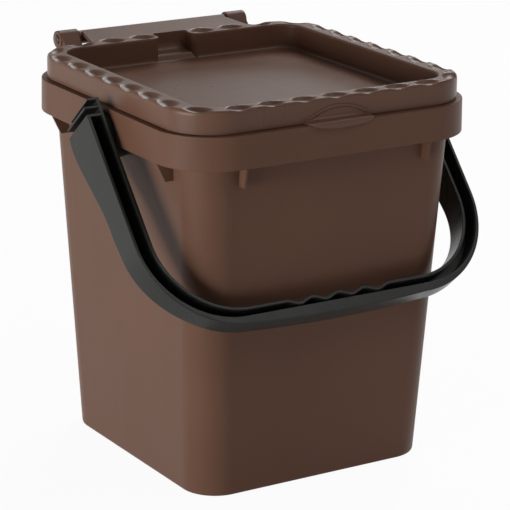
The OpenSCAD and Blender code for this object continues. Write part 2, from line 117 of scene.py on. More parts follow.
class CaddyLidSizes(bpy.types.PropertyGroup):
    """Sizes of the lid"""
    width: length("Width", 233.4, "Width of the skirt")
    depth: length("Depth", 231.4, "Depth of the skirt")
    corner: length("Corner", 35, "Corner radius of the skirt")
    crest: length("Crest", 284, "Height of the crest above the surface the caddy stands on")
    seam: length("Seam", 0.3, "Gap between the skirt and the collar")
    shoulder: length("Shoulder", 4, "Radius of the shoulder")
    wall: length("Wall", 2.2, "Thickness of the lid")
    rim_side: length("Side rim", 16.7, "Width of the rim at the sides")
    rim_end: length("End rim", 11.75, "Width of the rim at the front and back")
    recess_corner: length("Recess corner", 18, "Corner radius of the recess")
    recess_depth: length("Recess depth", 19, "Depth of the recess below the crest")
    recess_lip: length("Recess lip", 2.2, "Rounding of the recess's upper edge")
    recess_fillet: length("Recess fillet", 3, "Rounding at the foot of the recess's wall")
    dome_rise: length("Dome rise", 3, "Rise of the domed panel")
    dome_r: length("Dome radius", 92, "Radius of the domed panel")
    dimple_pitch: length("Dimple pitch", 25.6, "Spacing of the rim's dimples")
    dimple_len: length("Dimple length", 20.4, "Length of a dimple at the crest")
    dimple_side: length("Side dimples", 14, "Width of the side dimples at the crest")
    dimple_end: length("Other dimples", 11.6, "Width of the other dimples at the crest")
    dimple_depth: length("Dimple depth", 3.2, "Depth of a dimple")
    dimple_in: length("Dimple place", 5, "Distance of the dimples' middle from the lid's outside")
    dimple_floor: length("Dimple floor", 1.6, "Thickness of the rim under a dimple")
    dimple_soft: length("Dimple edge", 0.7, "Softness of a dimple's edge")
    dimple_count: bpy.props.IntProperty(
        name="Dimples", description="Number of dimples along each side", default=7, min=1)
    tab_w: length("Tab width", 56, "Width of the thumb tab")
    tab_arch: length("Tab arch", 11.1, "Height of the tab's arch above the lid's lower edge")
    tab_ledge: length("Tab ledge", 1.7, "Height of the tab's ledge above the lid's lower edge")
    tab_drop: length("Tab drop", 3.6, "How far the tab's lip hangs below the lid's lower edge")
    tab_out: length("Tab reach", 8.3, "How far the tab's lip stands out from the skirt")
    tab_t: length("Tab lip", 2.3, "Thickness of the tab's lip")
    tab_soft: length("Tab rounding", 2.6, "Rounding of the lip's upper edge")
    tab_bead: length("Tab bead", 1.1, "Thickness of the bead along the arch")
    alcove_w: length("Alcove width", 28, "Width of the alcove in the back rim")
    alcove_out: length("Alcove reach", 0.6, "How far the alcove reaches behind the skirt")
    alcove_round: length("Alcove mouth", 4.5, "Rounding of the alcove's mouth")
    barrel_r: length("Barrel", 5, "Radius of the hinge barrel")
    barrel_len: length("Barrel length", 127.8, "Length of the hinge barrel")
    leaf_t: length("Leaf", 2.8, "Thickness of the leaf that carries the barrel")
    leaf_in: length("Leaf ends", 3.5, "How far the leaf's ends stand in from the barrel's")
    leaf_flare: length("Leaf flare", 7, "How much wider the leaf gets at each end towards the rim")
    pin_r: length("Pin", 2.5, "Radius of the hinge pins")
    pin_reach: length("Pin reach", 18, "How far a pin reaches into the barrel")
    pin_head_r: length("Pin head", 3.8, "Radius of a pin's head")
    pin_head_t: length("Head thickness", 1.3, "Thickness of a pin's head")


class CaddyHandleSizes(bpy.types.PropertyGroup):
    """Sizes of the bail handle"""
    arm_in: length("Arm inside", 127, "Distance of the arms' inner faces from the middle")
    arm_w: length("Arm width", 13.4, "Width of an arm")
    wall: length("Wall", 2.4, "Wall of the channel")
    reach: length("Reach", 163.44, "Distance from the pivots to the grip's outer edge")
    grip_w: length("Grip width", 12.6, "Width of the grip")
    grip_band: length("Grip band", 6.3, "Width of the grip's closed outer band")
    grip_bow: length("Grip bow", 2.5, "How far the grip bows out in the middle")
    bend_out: length("Outer bend", 69, "Outer radius of the bends")
    bend_in: length("Inner bend", 56, "Inner radius of the bends")
    bend_channel: length("Channel bend", 62, "Outer radius of the channel round the bends")
    face: length("Face", 20, "Height of the open face above the pivots")
    depth_pivot: length("Pivot depth", 37, "Depth of the arms at the pivots")
    depth_arm: length("Arm depth", 25, "Depth of the arms below the pivots")
    depth_run: length("Depth run", 70, "Length over which the arms lose that depth")
    depth_grip: length("Grip depth", 14.7, "Depth of the grip")
    depth_end: length("End depth", 31, "Depth of the arms at their upper ends")
    arm_end: length("Arm end", 20, "How far the arms reach beyond the pivots")
    arm_bevel: length("End bevel", 5, "Bevel on the outer corner of the arms' ends")
    rib_t: length("Rib", 2, "Thickness of the ribs across the arms' ends")
    rib_pitch: length("Rib pitch", 6, "Spacing of those ribs")
    rib_count: bpy.props.IntProperty(name="Ribs", description="Number of those ribs", default=3, min=2)
    wave_pitch: length("Wave pitch", 21.5, "Spacing of the finger waves")
    wave_depth: length("Wave depth", 3, "Depth of the finger waves")
    wave_count: bpy.props.IntProperty(
        name="Waves", description="Number of finger waves", default=4, min=2)
    edge: length("Edge", 0.55, "Softness of the handle's edges")
    boss_wall: length("Boss wall", 3.8, "Wall of the bosses round the studs")
    boss_gap: length("Boss gap", 0.6, "Gap between a boss and the bucket's wall")
    run_clear: length("Running clearance", 0.05, "Radial clearance on the studs and pins")
    notch_gap: length("Notch gap", 0.8, "Gap round a boss in the collar")
    tilt: angle("Rest tilt", 48.9, "Angle of the resting handle below level")


class CaddyFinish(bpy.types.PropertyGroup):
    """Colours of the mouldings"""
    brown: colour("Brown", (0.148, 0.074, 0.048), "Plastic of the bucket and the lid")
    grey: colour("Grey", (0.022, 0.024, 0.021), "Plastic of the handle")
    pin: colour("Pin", (0.040, 0.030, 0.026), "Plastic of the hinge pins")


class CaddyStudio(bpy.types.PropertyGroup):
    """Camera, lights and backdrop"""
    azimuth: angle("Azimuth", -31.97, "How far the camera stands round from the front")
    elevation: angle("Elevation", 17.15, "Height of the camera above level")
    roll: angle("Roll", 0.69, "Turn of the camera about its own line of sight")
    distance: length("Distance", 1864.94, "Distance of the camera from its target")
    target: bpy.props.FloatVectorProperty(
        name="Target", description="Point in the middle of the picture", subtype="TRANSLATION",
        size=3, default=(0.0061, -0.00078, 0.13895))
    lens: bpy.props.FloatProperty(name="Lens", description="Focal length in millimetres", default=179.27)
    key: power("Key light", 40, "Power of the main light")
    back: power("Back light", 30, "Power of the light behind")
    front: power("Front light", 12, "Power of the light above the front")
    surround: bpy.props.FloatProperty(
        name="Surround", description="Strength of the soft light all round", default=0.13)


# ------------------------------------------------------------------ modelling tools

def only(piece):
    """Select one piece alone and make it active."""
    bpy.ops.object.select_all(action="DESELECT")
    piece.select_set(True)
    bpy.context.view_layer.objects.active = piece


def modify(piece, name, kind, **settings):
    """Put a modifier on a piece and apply it."""
    modifier = piece.modifiers.new(name, kind)
    for setting, value in settings.items():
        setattr(modifier, setting, value)
    only(piece)
    bpy.ops.object.modifier_apply(modifier=modifier.name)


def loft(name, rings, tube=False):
    """A closed piece drawn through rings of points, each ring extruded from the one before it.

    A tube's last ring is its first one again, so its two caps go and the rings are welded.
    """
    bpy.ops.object.select_all(action="DESELECT")
    bpy.ops.mesh.primitive_circle_add(vertices=len(rings[0]), radius=1, fill_type="NGON")
    piece = bpy.context.object
    piece.name = piece.data.name = name
    bpy.ops.object.mode_set(mode="EDIT")
    mesh = bmesh.from_edit_mesh(piece.data)
    step = mesh.verts.layers.int.new("step")
    for vert in mesh.verts:
        vert[step] = vert.index
    for number, ring in enumerate(rings):
        if number:
            bpy.ops.mesh.extrude_region_move()
        mesh = bmesh.from_edit_mesh(piece.data)
        step = mesh.verts.layers.int["step"]
        for vert in mesh.verts:
            if vert.select:
                vert.co = ring[vert[step]]
        bmesh.update_edit_mesh(piece.data)
    mesh.verts.layers.int.remove(step)
    if tube:
        bpy.ops.mesh.select_all(action="DESELECT")
        for face in mesh.faces:
            face.select = len(face.verts) == len(rings[0])
        bmesh.update_edit_mesh(piece.data)
        bpy.ops.mesh.delete(type="ONLY_FACE")
    bpy.ops.mesh.select_all(action="SELECT")
    bpy.ops.mesh.remove_doubles(threshold=0.00002)
    bpy.ops.mesh.normals_make_consistent(inside=False)
    bpy.ops.object.mode_set(mode="OBJECT")
    return piece


def soften(corners, steps, closed=False):
    """Round each corner of a line of points: corners are (point, radius)."""
    corners = [(Vector(point), radius) for point, radius in corners]
    points = []
    last = len(corners) - 1
    for number, (point, soft) in enumerate(corners):
        if not closed and number in (0, last):
            points.append(point)
            continue
        before = corners[number - 1][0] - point
        after = corners[(number + 1) % len(corners)][0] - point
        start = point + before * min(0.5, soft / max(before.length, 1e-9))
        end = point + after * min(0.5, soft / max(after.length, 1e-9))
        for k in range(steps + 1):
            t = k / steps
            points.append((1 - t) ** 2 * start + 2 * t * (1 - t) * point + t * t * end)
    return points


def rounded_square(half_x, half_y, radius, height, corner_steps, side_steps):
    """Points round a level square with rounded corners."""
    corners = []
    for turn, (side_x, side_y) in enumerate(((1, 1), (-1, 1), (-1, -1), (1, -1))):
        centre = Vector((side_x * (half_x - radius), side_y * (half_y - radius), height))
        angles = [pi / 2 * (turn + k / corner_steps) for k in range(corner_steps + 1)]
        corners.append([centre + radius * Vector((cos(a), sin(a), 0)) for a in angles])
    points = []
    for turn in range(4):
        points += corners[turn]
        start, end = corners[turn][-1], corners[(turn + 1) % 4][0]
        points += [start.lerp(end, k / side_steps) for k in range(1, side_steps)]
    return points


def square_loft(name, profile, corner_steps, side_steps):
    """A moulding drawn through rounded squares given as (half width, half depth, radius, height)."""
    return loft(name, [rounded_square(*section, corner_steps, side_steps) for section in profile])


def turned(name, profile, centre, steps=48, tube=False):
    """A piece turned about a line along X: the profile is (distance along X, radius)."""
    rings = []
    for along, radius in profile:
        angles = [2 * pi * k / steps for k in range(steps)]
        rings.append([centre + Vector((along, radius * cos(a), radius * sin(a))) for a in angles])
    return loft(name, rings, tube)


def make_tube(name, ends, bore, radius, axis):
    """A tube along X with soft ends, about an axis."""
    start, end = ends
    corners = ((start, bore), (start, radius), (end, radius), (end, bore), (start, bore))
    profile = soften([(corner, 0.9 * MM) for corner in corners], 4)
    return turned(name, profile, Vector((0, axis.y, axis.z)), tube=True)


def prism(name, outline, low, high):
    """An outline in Y and Z drawn out along X."""
    return loft(name, [[Vector((x, y, z)) for y, z in outline] for x in (low, high)])


def combine(piece, other, operation):
    """Cut another piece away, or weld it on, and drop it."""
    modify(piece, "Combine", "BOOLEAN", object=other, operation=operation, solver="EXACT")
    bpy.data.objects.remove(other)


def round_edges(piece, width):
    modify(piece, "Edges", "BEVEL", width=width, segments=2, limit_method="ANGLE",
           angle_limit=radians(35))


def mirrored(piece, name):
    """A copy of the piece on the other side of the middle, with its own mesh."""
    only(piece)
    bpy.ops.object.duplicate()
    copy = bpy.context.object
    copy.name = copy.data.name = name
    copy.data.transform(Matrix.Scale(-1, 4, (1, 0, 0)))
    bpy.ops.object.mode_set(mode="EDIT")
    bpy.ops.mesh.select_all(action="SELECT")
    bpy.ops.mesh.normals_make_consistent(inside=False)
    bpy.ops.object.mode_set(mode="OBJECT")
    return copy


def join(pieces):
    """Join pieces into the first of them."""
    only(pieces[0])
    for piece in pieces[1:]:
        piece.select_set(True)
    bpy.ops.object.join()
    return pieces[0]


def settle(piece, body, node, material):
    """Even shading, finish and place in the assembly."""
    only(piece)
    bpy.ops.object.shade_smooth_by_angle(angle=SMOOTH_ANGLE)
    modify(piece, "Even shading", "WEIGHTED_NORMAL", keep_sharp=True)
    piece.data.materials.clear()
    piece.data.materials.append(material)
    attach(piece, body)
    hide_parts(node)
    return piece


# ------------------------------------------------------------------ finishes

def add_node(tree, kind, inputs=None, **settings):
    """A shader node with its settings, and its inputs by name or number."""
    node = tree.nodes.new(kind)
    for name, value in settings.items():
        setattr(node, name, value)
    for socket, value in (inputs or {}).items():
        node.inputs[socket].default_value = value
    return node


def add_map(tree, low, high, to_low, to_high):
    """A node that maps one range of values to another."""
    return add_node(tree, "ShaderNodeMapRange", {
        "From Min": low, "From Max": high, "To Min": to_low, "To Max": to_high})


def moulded_surface():
    """The surface of moulded plastic: fine grain, soft flow clouds and handling marks."""
    name = "Moulded surface"
    if name in bpy.data.node_groups:
        return bpy.data.node_groups[name]
    group = bpy.data.node_groups.new(name, "ShaderNodeTree")
    sockets = (
        ("Base", "NodeSocketColor"), ("Cloud", "NodeSocketFloat"), ("Polish", "NodeSocketFloat"),
        ("Marks", "NodeSocketFloat"))
    for socket, kind in sockets:
        group.interface.new_socket(socket, in_out="INPUT", socket_type=kind)
    for socket, kind in (("Color", "NodeSocketColor"), ("Roughness", "NodeSocketFloat"),
                         ("Height", "NodeSocketFloat")):
        group.interface.new_socket(socket, in_out="OUTPUT", socket_type=kind)
    link = group.links.new
    given = group.nodes.new("NodeGroupInput")
    made = group.nodes.new("NodeGroupOutput")
    place = group.nodes.new("ShaderNodeTexCoord").outputs["Object"]

    def noise(scale, detail, rough=0.5, source=place):
        node = add_node(group, "ShaderNodeTexNoise", {"Scale": scale, "Detail": detail, "Roughness": rough})
        link(source, node.inputs["Vector"])
        return node.outputs["Fac"]

    def spread(source, low, high):
        node = add_map(group, 0.3, 0.7, low, high)
        link(source, node.inputs["Value"])
        return node.outputs["Result"]

    def maths(operation, first, second):
        node = add_node(group, "ShaderNodeMath", operation=operation)
        for socket, value in zip(node.inputs, (first, second)):
            if isinstance(value, (int, float)):
                socket.default_value = value
            else:
                link(value, socket)
        return node.outputs[0]

    cloud = spread(noise(11, 3), -1, 1)
    speck = spread(noise(420, 2, 0.6), -1, 1)
    tone = maths("ADD", maths("MULTIPLY", cloud, given.outputs["Cloud"]),
                 maths("MULTIPLY", speck, 0.02))
    shade = add_node(group, "ShaderNodeHueSaturation")
    link(given.outputs["Base"], shade.inputs["Color"])
    link(maths("ADD", tone, 1), shade.inputs["Value"])
    link(shade.outputs["Color"], made.inputs["Color"])

    drawn = add_node(group, "ShaderNodeMapping", {"Scale": (1, 1, 0.12)})
    link(place, drawn.inputs["Vector"])
    marks = spread(noise(95, 4, 0.65, drawn.outputs["Vector"]), -1, 1)
    worn = maths("ADD", maths("MULTIPLY", cloud, 0.03), maths("MULTIPLY", marks, given.outputs["Marks"]))
    link(maths("ADD", worn, given.outputs["Polish"]), made.inputs["Roughness"])

    grain = maths("ADD", noise(900, 2), maths("MULTIPLY", noise(2600, 1), 0.5))
    wavy = maths("MULTIPLY", noise(26, 1), 3.0)
    link(maths("ADD", grain, wavy), made.inputs["Height"])
    return group


def plastic(name, shade, polish, cloud=0.05, specular=0.4):
    """A satin moulded plastic, made once."""
    marks, grain = 0.03, 0.02 * MM
    if name in bpy.data.materials:
        return bpy.data.materials[name]
    material = bpy.data.materials.new(name)
    material.use_nodes = True
    material.diffuse_color = (*shade, 1)
    tree = material.node_tree
    shader = tree.nodes["Principled BSDF"]
    shader.inputs["Specular IOR Level"].default_value = specular
    surface = add_node(tree, "ShaderNodeGroup", {
        "Base": (*shade, 1), "Cloud": cloud, "Polish": polish, "Marks": marks}, node_tree=moulded_surface())
    bump = add_node(tree, "ShaderNodeBump", {"Strength": 1, "Distance": grain})
    tree.links.new(surface.outputs["Color"], shader.inputs["Base Color"])
    tree.links.new(surface.outputs["Roughness"], shader.inputs["Roughness"])
    tree.links.new(surface.outputs["Height"], bump.inputs["Height"])
    tree.links.new(bump.outputs["Normal"], shader.inputs["Normal"])
    return material


def settle_bucket(piece, finish):
    settle(piece, "bucket", "bucket",
           plastic("Bucket plastic", finish.brown, polish=0.40, specular=0.12))


def settle_lid(piece, finish):
    settle(piece, "lid", "lid",
           plastic("Lid plastic", finish.brown, polish=0.31, specular=0.19))


# ------------------------------------------------------------------ bucket

def wall_half(sizes, height):
    """Half width and half depth of the tapered wall at a height."""
    share = height / sizes.height
    return Vector((sizes.foot_w + (sizes.mouth_w - sizes.foot_w) * share,
                   sizes.foot_d + (sizes.mouth_d - sizes.foot_d) * share)) / 2


def wall_section(sizes, inset, height):
    half = wall_half(sizes, height)
    return Vector((half.x - inset, half.y - inset, sizes.corner - inset, height))


def collar_section(sizes, inset, height):
    inset -= sizes.collar_flare * (sizes.height - height) / sizes.collar_h
    return Vector((sizes.collar_w / 2 - inset, sizes.collar_d / 2 - inset,
                   sizes.collar_corner - inset, height))


def make_bucket_shell(sizes):
    """Foot, wall, collar and floor in one skin, drawn from the foot up, over the collar and in."""
    collar_z = sizes.height - sizes.collar_h
    under = sizes.height - sizes.flange
    edge = 0.7 * MM
    corners = [
        (wall_section(sizes, sizes.foot_round + 12 * MM, 0), 0),
        (wall_section(sizes, 0, 0), sizes.foot_round),
        (wall_section(sizes, 0, under), 0.8 * MM),
        (collar_section(sizes, sizes.skirt, under), 0.8 * MM),
        (collar_section(sizes, sizes.skirt, collar_z), edge),
        (collar_section(sizes, 0, collar_z), edge),
        (collar_section(sizes, 0, sizes.height), edge * 1.4),
        (wall_section(sizes, sizes.wall, sizes.height), edge),
        (wall_section(sizes, sizes.wall, sizes.bottom), sizes.foot_round),
        (wall_section(sizes, sizes.wall + 24 * MM, sizes.bottom), 0),
    ]
    return square_loft("bucket_shell", soften(corners, 5), 20, 1)


def notch_cutter(bucket, handle, pivot):
    """The arched way through the collar's side for the handle's boss."""
    radius = bucket.stud_r + handle.boss_wall + handle.notch_gap
    low = bucket.height - bucket.collar_h - 2 * MM
    outline = [(pivot.y + radius * cos(pi * k / 32), pivot.z + radius * sin(pi * k / 32))
               for k in range(33)]
    outline = [(pivot.y + radius, low)] + outline + [(pivot.y - radius, low)]
    wall = wall_half(bucket, bucket.height).x
    return prism("notch", outline, wall + 1.5 * MM, bucket.collar_w / 2 + 5 * MM)


def make_gussets(sizes):
    """The eight thin gussets between the wall and the collar."""
    collar_z = sizes.height - sizes.collar_h
    foot_z = collar_z - sizes.gusset_drop
    under = sizes.height - sizes.flange / 2
    made = []
    for turn in range(4):
        along = turn % 2
        collar = (sizes.collar_d, sizes.collar_w)[along] / 2
        root = wall_half(sizes, foot_z)[1 - along]
        spread = (sizes.gusset_x, sizes.gusset_y)[along]
        outline = [
            (root - 0.8 * sizes.wall, foot_z), (root + sizes.gusset_foot, foot_z),
            (collar - sizes.skirt / 2, collar_z), (collar - sizes.skirt / 2, under), (root, under),
        ]
        for side in (-1, 1):
            middle = side * spread
            plate = prism("gusset", outline, middle - sizes.gusset_t / 2, middle + sizes.gusset_t / 2)
            plate.data.transform(Matrix.Rotation(pi / 2 * turn, 4, "Z"))
            round_edges(plate, 0.5 * MM)
            made.append(plate)
    gussets = join(made)
    gussets.name = gussets.data.name = "bucket_gussets"
    return gussets


def make_bracket(sizes, lid, hinge):
    """One hinge bracket with its knuckle, cored from below, on the right-hand side."""
    back = sizes.collar_d / 2
    skin = sizes.bracket_skin
    bevel = 1.2 * MM
    start = lid.barrel_len / 2 + KNUCKLE_GAP
    end = start + sizes.knuckle_len
    low, high = start + bevel, end - bevel
    front_y = hinge.y - 0.8 * sizes.knuckle_r
    under_y = hinge.y + 0.77 * sizes.knuckle_r
    collar_z = sizes.height - sizes.collar_h
    top = sizes.height - 0.2 * MM
    outline = [
        (back - 1.4 * MM, top), (front_y, hinge.z + 0.6 * sizes.knuckle_r), (hinge.y, hinge.z),
        (under_y, hinge.z - 0.64 * sizes.knuckle_r), (back - 1.4 * MM, collar_z + skin),
    ]
    core = [
        (back + skin, top - 2 * skin), (hinge.y - 0.5 * sizes.knuckle_r, hinge.z - 1.3 * sizes.knuckle_r),
        (hinge.y + sizes.knuckle_r, hinge.z - 1.3 * sizes.knuckle_r), (under_y, collar_z),
        (back + skin, collar_z),
    ]
    arm = prism("bracket_arm", outline, low, high)
    combine(arm, prism("bracket_core", core, low + skin, high - skin), "DIFFERENCE")
    round_edges(arm, 0.6 * MM)
    knuckle = make_tube("knuckle", (start, end), lid.pin_r, sizes.knuckle_r, hinge)
    return join([arm, knuckle])


def make_stud(sizes, handle, pivot):
    """One hollow pivot stud on the right-hand side."""
    wall = wall_half(sizes, sizes.height).x
    root = wall - 1.2 * sizes.wall
    end = handle.arm_in - handle.wall - handle.boss_gap
    inner = sizes.stud_r - sizes.stud_wall
    profile = soften([
        ((root, HAIR), 0), ((root, sizes.stud_r), 0), ((end, sizes.stud_r), 0.6 * MM),
        ((end, inner), 0.6 * MM), ((wall + sizes.wall, inner), 0.6 * MM),
        ((wall + sizes.wall, HAIR), 0)], 3)
    return turned("bucket_stud_right", profile, Vector((0, pivot.y, pivot.z)), steps=64)


# ------------------------------------------------------------------ lid

def dimple_places(sizes):
    """Middle, direction and width of every dimple; the alcove takes the back one's place."""
    rim_x, rim_y = sizes.width / 2 - sizes.dimple_in, sizes.depth / 2 - sizes.dimple_in
    last = (sizes.dimple_count - 1) // 2
    places = []
    for k in range(-last, last + 1):
        along = k * sizes.dimple_pitch
        places += [(Vector((side * rim_x, along)), Vector((0, 1)), sizes.dimple_side) for side in (-1, 1)]
        places.append((Vector((along, -rim_y)), Vector((1, 0)), sizes.dimple_end))
        if k:
            places.append((Vector((along, rim_y)), Vector((1, 0)), sizes.dimple_end))
    out = (sizes.corner - sizes.dimple_in) / sqrt(2) - sizes.corner
    for side_x in (-1, 1):
        for side_y in (-1, 1):
            middle = Vector((side_x * (sizes.width / 2 + out), side_y * (sizes.depth / 2 + out)))
            places.append((middle, Vector((-side_x, side_y)).normalized(), sizes.dimple_end))
    return places


def press_dimples(piece, sizes):
    """Lower a piece's upper skin to a slim spindle's surface at every dimple, with soft edges."""
    depth, half_len = sizes.dimple_depth, sizes.dimple_len / 2
    arc = (half_len ** 2 + depth ** 2) / (2 * depth)
    soft = sizes.dimple_soft
    places = dimple_places(sizes)
    for vert in piece.data.vertices:
        if vert.co.z < sizes.crest - sizes.shoulder:
            continue
        for middle, along, width in places:
            offset = vert.co.xy - middle
            run = offset.dot(along)
            if offset.length > width + half_len or abs(run) > half_len + 2 * soft:
                continue
            fat = (width * width / (4 * depth) + depth) / 2
            across = offset.length_squared - run * run
            spindle = sqrt(arc ** 2 - run * run) - arc + fat
            if spindle ** 2 <= across:
                continue
            drop = vert.co.z - (sizes.crest + fat - depth - sqrt(spindle ** 2 - across))
            if drop > soft:
                vert.co.z -= drop
            elif drop > -soft:
                vert.co.z -= (drop + soft) ** 2 / (4 * soft)


def dome_height(sizes, point):
    """How far the domed panel rises at a point."""
    share = point.xy.length / sizes.dome_r
    return sizes.dome_rise * max(0, 1 - share * share)


def make_lid_shell(sizes, bucket):
    """Panel, recess, rim and skirt in one closed skin, drawn from below, over the rim and in again."""
    half_x, half_y = sizes.width / 2, sizes.depth / 2
    lid_z = bucket.height + sizes.seam
    floor = sizes.crest - sizes.recess_depth
    in_x, in_y = half_x - sizes.rim_side, half_y - sizes.rim_end
    under = sizes.crest - sizes.dimple_depth - sizes.dimple_floor
    wall, corner = sizes.wall, sizes.recess_corner
    panel = [share * share for share in (0.1, 0.3, 0.45, 0.58, 0.68, 0.77, 0.85, 0.92)]

    def inner(share, height):
        return Vector((in_x * share, in_y * share, corner * share, height))

    below = [inner(share, floor - wall) for share in panel]
    turn_up = soften([
        (below[-1], 0),
        ((in_x + wall, in_y + wall, corner + wall, floor - wall), 3 * MM),
        ((in_x + wall, in_y + wall, corner + wall, under), 1 * MM),
        ((half_x - wall, half_y - wall, sizes.corner - wall, under), 1 * MM),
        ((half_x - wall, half_y - wall, sizes.corner - wall, lid_z), 0.5 * MM),
        ((half_x, half_y, sizes.corner, lid_z), 0.5 * MM),
        ((half_x, half_y, sizes.corner, sizes.crest), 0),
    ], 5)[:-1]
    turn_up += soften([
        (turn_up[-1], 0), ((half_x, half_y, sizes.corner, sizes.crest), sizes.shoulder),
        ((in_x, in_y, corner, sizes.crest), 0),
    ], 14)[1:-1]
    crest_out = turn_up[-1]
    lip = soften([(crest_out, 0), ((in_x, in_y, corner, sizes.crest), sizes.recess_lip),
                  ((in_x, in_y, corner, floor), sizes.recess_fillet),
                  (inner(panel[-1], floor), 0)], 5)[1:-1]
    crest = [crest_out.lerp(lip[0], k / 16) for k in range(1, 16)]
    above = [inner(share, floor) for share in reversed(panel)]
    lid = square_loft("lid_shell", below + turn_up[1:] + crest + lip + above, 40, 128)
    for vert in lid.data.vertices:
        if vert.co.z < floor + HAIR:
            vert.co.z += dome_height(sizes, vert.co)
    press_dimples(lid, sizes)
    return lid


def alcove_outline(sizes, grow, mouth):
    """The alcove seen from above, to its back wall: from inside the recess where it has a mouth."""
    half = sizes.alcove_w / 2 + grow
    back = sizes.depth / 2 + sizes.alcove_out + grow
    edge = sizes.depth / 2 - sizes.rim_end
    inside = edge - 10 * MM
    front = inside if mouth else edge + 0.7 * sizes.wall
    corners = [(half, front), (half, back), (-half, back), (-half, front)]
    outline = soften([(point, 2.4 * MM if point[1] == back else 0) for point in corners], 5, closed=True)
    if not mouth:
        return outline
    flare = sizes.alcove_round
    quarter = [pi / 2 * k / 8 for k in range(9)]
    right = [Vector((half + flare - flare * sin(a), edge + flare - flare * cos(a))) for a in quarter]
    left = [Vector((-point.x, point.y)) for point in reversed(right)]
    rear = [point for point in outline if point.y > edge + flare]
    start = [Vector((half + flare, inside))]
    end = [Vector((-half - flare, inside))]
    return start + right + rear + left + end


def alcove_prism(sizes, name, grow, mouth, low, high):
    outline = alcove_outline(sizes, grow, mouth)
    return loft(name, [[Vector((p.x, p.y, z)) for p in outline] for z in (low, high)])


def alcove_cutter(sizes, floor, grow=0):
    """The alcove's hollow: it slopes up from the panel and its floor turns up into the back wall."""
    panel = sizes.crest - sizes.recess_depth
    edge = sizes.depth / 2 - sizes.rim_end
    back = sizes.depth / 2 + sizes.alcove_out + grow
    top = sizes.crest + 8 * MM
    cutter = alcove_prism(sizes, "alcove", grow, True, panel - 2 * MM, top)
    side = soften([
        ((edge - 12 * MM, top), 0), ((edge - 12 * MM, panel + 0.2 * MM), 0),
        ((edge + 0.2 * MM, panel + 0.2 * MM), 1 * MM), ((edge + 2.6 * MM, floor), 1.4 * MM),
        ((back, floor + 0.6 * MM), 7 * MM), ((back, top), 0)], 8)
    reach = sizes.alcove_w
    combine(cutter, prism("alcove_side", [tuple(point) for point in side], -reach, reach), "INTERSECT")
    return cutter


def make_leaf(sizes, hinge):
    """The leaf that carries the barrel, behind the rim and dimpled with it."""
    front = sizes.depth / 2 - sizes.shoulder
    half = sizes.barrel_len / 2 - sizes.leaf_in
    bpy.ops.object.select_all(action="DESELECT")
    bpy.ops.mesh.primitive_grid_add(x_subdivisions=112, y_subdivisions=34, size=2)
    leaf = bpy.context.object
    leaf.name = leaf.data.name = "lid_leaf"
    rise = hinge.z + sizes.barrel_r - sizes.crest
    for vert in leaf.data.vertices:
        share = (vert.co.y + 1) / 2
        across = vert.co.x * (half + sizes.leaf_flare * (1 - share))
        vert.co = Vector((across, front + (hinge.y - front) * share, sizes.crest + rise * share))
    press_dimples(leaf, sizes)
    modify(leaf, "Leaf", "SOLIDIFY", thickness=sizes.leaf_t, offset=-1)
    return leaf


def make_barrel(sizes, handle, hinge):
    half = sizes.barrel_len / 2
    bore = sizes.pin_r + handle.run_clear
    return make_tube("lid_barrel", (-half, half), bore, sizes.barrel_r, hinge)


def rise_over(chord, rise, across):
    """Height of a round arc over its chord."""
    radius = ((chord / 2) ** 2 + rise ** 2) / (2 * rise)
    return sqrt(max(radius ** 2 - across ** 2, 0)) - radius + rise


def tab_section(sizes, lid_z, across):
    """Outline of the thumb tab at a distance from its middle, as points in Y and Z."""
    arch = rise_over(sizes.tab_w, sizes.tab_arch, across)
    past = max(abs(across) - sizes.tab_w / 2 + sizes.tab_out, 0)
    reach = sqrt(max(sizes.tab_out ** 2 - past ** 2, 0))
    inner = sizes.tab_out - sizes.tab_t
    drop = rise_over(sizes.tab_w, sizes.tab_drop, across) * min(max((reach - inner) / sizes.tab_t, 0), 1)
    ledge = min(sizes.tab_ledge, 0.5 * arch)
    bead = min(sizes.tab_bead, 0.3 * (arch - ledge), 0.4 * reach)
    inner = min(inner, reach - 0.1 * MM)
    soft = min(sizes.tab_soft, 0.5 * reach)
    corners = [
        (-sizes.wall / 2, arch, 0), (bead, arch, 0.7 * bead), (bead, arch - 1.7 * bead, 0.8 * bead),
        (0.15 * bead, arch - 2.1 * bead, 0.8 * bead), (0.4 * MM + 0.1 * reach, ledge, 5 * MM),
        (reach, ledge, soft), (reach, -drop, 0.5 * MM), (inner, -drop, 0.5 * MM), (inner, 0, 0.1 * MM),
        (-sizes.wall / 2, 0, 0),
    ]
    outline = soften([((out, up), soft) for out, up, soft in corners], 6)
    return [(-sizes.depth / 2 - point.x, lid_z + point.y) for point in outline]


def make_tab(sizes, bucket):
    """The thumb tab: a lens with a bead along its arch, a scoop and a lip that hangs over the collar."""
    lid_z = bucket.height + sizes.seam
    half = sizes.tab_w / 2 - 0.1 * MM
    count = 80
    rings = []
    for k in range(count + 1):
        across = half * sin(pi / 2 * (2 * k / count - 1))
        rings.append([Vector((across, y, z)) for y, z in tab_section(sizes, lid_z, across)])
    return loft("lid_thumb_tab", rings)


